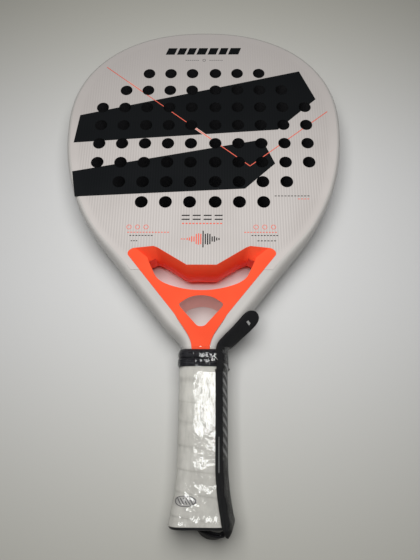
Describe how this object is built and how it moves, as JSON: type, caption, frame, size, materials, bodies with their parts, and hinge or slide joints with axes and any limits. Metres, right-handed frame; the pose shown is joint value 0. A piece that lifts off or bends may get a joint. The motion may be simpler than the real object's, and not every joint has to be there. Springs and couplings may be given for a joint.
{
  "type": "padel racket",
  "caption": "Padel racket with a drilled foam-core head, an open heart-shaped throat, a tape-wrapped grip with end cap, and a webbing wrist strap held under a clear sleeve.",
  "frame": {"origin": "centre of the footprint, on the plane that the racket lies on with its back face down", "axes": "+Y from the butt to the tip of the head, +Z out of the front face through the thickness, +X to the racket's right"},
  "size_m": [0.26, 0.465, 0.0418],
  "materials": {
    "white_paint": "off-white lacquer over the frame laminate, satin gloss",
    "white_face": "off-white lacquered laminate with fine lengthwise ribs and printed black and coral graphics",
    "coral_paint": "bright orange-red paint, satin",
    "black_foam": "closed-cell foam, dull black",
    "tan_foam": "dense tan handle foam, hidden under the grip",
    "white_grip": "white synthetic grip tape, spiral wrapped with overlapping seams",
    "black_tape": "glossy black finishing tape",
    "black_rubber": "black stretched collar, soft sheen",
    "black_plastic": "moulded black plastic",
    "black_webbing": "flat woven black polyester webbing",
    "white_thread": "white sewing thread",
    "grey_badge": "plain grey outlined oval badge",
    "clear_film": "clear shrink film with wrinkles and a perforated tear line"
  },
  "bodies": {
    "root": {"frame_tube": "white_paint", "foam_core": "black_foam", "front_skin": "white_face", "back_skin": "white_face", "throat_bridge": "coral_paint", "handle_pallet": "tan_foam", "grip_wrap": "white_grip", "finishing_tape": "black_tape", "handle_foam": "black_foam", "grip_collar": "black_rubber", "butt_cap": "black_plastic", "grip_badge": "grey_badge", "strap_inner_ply": "black_webbing", "strap_outer_ply": "black_webbing", "strap_bar_tack": "white_thread", "strap_anchor": "black_plastic", "film_sleeve": "clear_film"}
  },
  "joints": []
}
